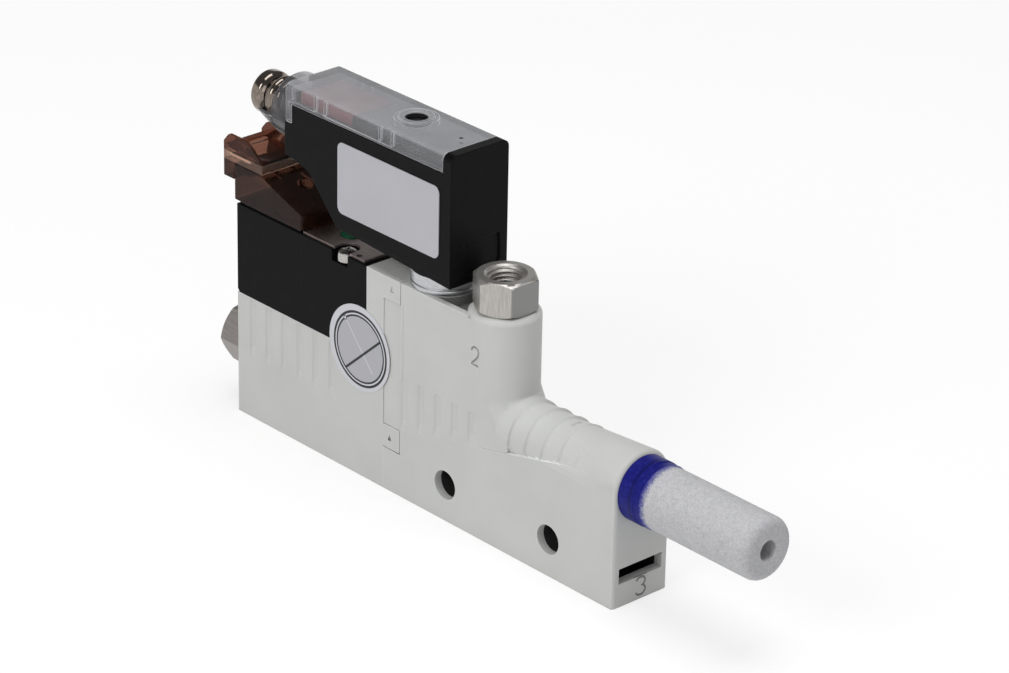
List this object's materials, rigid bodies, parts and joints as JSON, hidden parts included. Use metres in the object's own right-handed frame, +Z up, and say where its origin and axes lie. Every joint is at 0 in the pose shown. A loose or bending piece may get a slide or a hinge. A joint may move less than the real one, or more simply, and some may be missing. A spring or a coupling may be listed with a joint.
{
  "type": "vacuum ejector",
  "caption": "Slim in-line vacuum ejector: ribbed body with threaded hexagon ports, solenoid valve with plug, vacuum switch with round connector, and a tubular silencer.",
  "frame": {"origin": "centre of the flat underside of the moulded body", "axes": "+X along the ejector axis towards the silencer, +Z up towards the vacuum port and the switch, -Y towards the side with the label"},
  "size_m": [0.1327, 0.013, 0.0677],
  "materials": {
    "grey_plastic": "moulded, satin",
    "nickel": "nickel plated, turned",
    "seal_rubber": "smooth",
    "nozzle_brass": "turned",
    "blue_plastic": "moulded, satin",
    "porous_plastic": "sintered, rough",
    "black_plastic": "moulded, fine grain",
    "bobbin_plastic": "moulded",
    "copper_wire": "enamelled wire",
    "soft_iron": "ground",
    "plate_metal": "stamped",
    "screw_steel": "machined",
    "green_plastic": "moulded",
    "brown_plastic": "translucent, polished",
    "gold_contacts": "plated",
    "clear_plastic": "clear, smoke grey",
    "ring_metal": "turned",
    "sensor_metal": "drawn",
    "board_green": "lacquered",
    "window_red": "clear tinted",
    "light_green": "clear tinted",
    "grey_clear_plastic": "translucent grey",
    "label_film": "bare printed film",
    "sticker_film": "bare film with plain rings"
  },
  "bodies": {
    "body": {"valve_base": "grey_plastic", "ejector_body": "grey_plastic", "vacuum_port_fitting": "nickel", "supply_port_fitting": "nickel", "vacuum_port_seal": "seal_rubber", "supply_port_seal": "seal_rubber", "jet_nozzle": "nozzle_brass", "receiver_nozzle": "nozzle_brass", "nozzle_seals": "seal_rubber", "silencer_collar": "blue_plastic", "silencer_sleeve": "porous_plastic", "valve_body": "black_plastic", "coil_housing": "black_plastic", "coil_bobbin": "bobbin_plastic", "coil_winding": "copper_wire", "fixed_core": "soft_iron", "valve_gasket": "seal_rubber", "valve_plate": "plate_metal", "valve_screws": "screw_steel", "plug_gasket": "seal_rubber", "plug_base": "brown_plastic", "plug_screw": "screw_steel", "plug_head": "brown_plastic", "plug_contacts": "gold_contacts", "switch_housing": "black_plastic", "switch_lid": "clear_plastic", "switch_ring": "ring_metal", "switch_seal": "seal_rubber", "pressure_sensor": "sensor_metal", "circuit_board": "board_green", "display_window": "window_red", "teach_switch": "black_plastic", "status_light": "light_green", "m8_shell": "nickel", "m8_insert": "black_plastic", "m8_pins": "gold_contacts", "connector_collar": "grey_clear_plastic", "switch_label": "label_film", "round_sticker": "sticker_film"},
    "override_button": {"override_button": "green_plastic"},
    "teach_button": {"teach_button": "black_plastic"},
    "plunger": {"plunger": "soft_iron"}
  },
  "joints": [
    {"name": "override_press", "type": "slide", "parent": "body", "child": "override_button", "axis": [0, 0, -1], "range_m": [0, 0.0006], "stiffness_N_per_m": 1500, "springref_m": -0.0005},
    {"name": "teach_press", "type": "slide", "parent": "body", "child": "teach_button", "axis": [0, 0, -1], "range_m": [0, 0.0005], "stiffness_N_per_m": 1500, "springref_m": -0.0005},
    {"name": "plunger_pull", "type": "slide", "parent": "body", "child": "plunger", "axis": [-1, 0, 0], "range_m": [0, 0.0005], "stiffness_N_per_m": 1500, "springref_m": -0.0005}
  ]
}
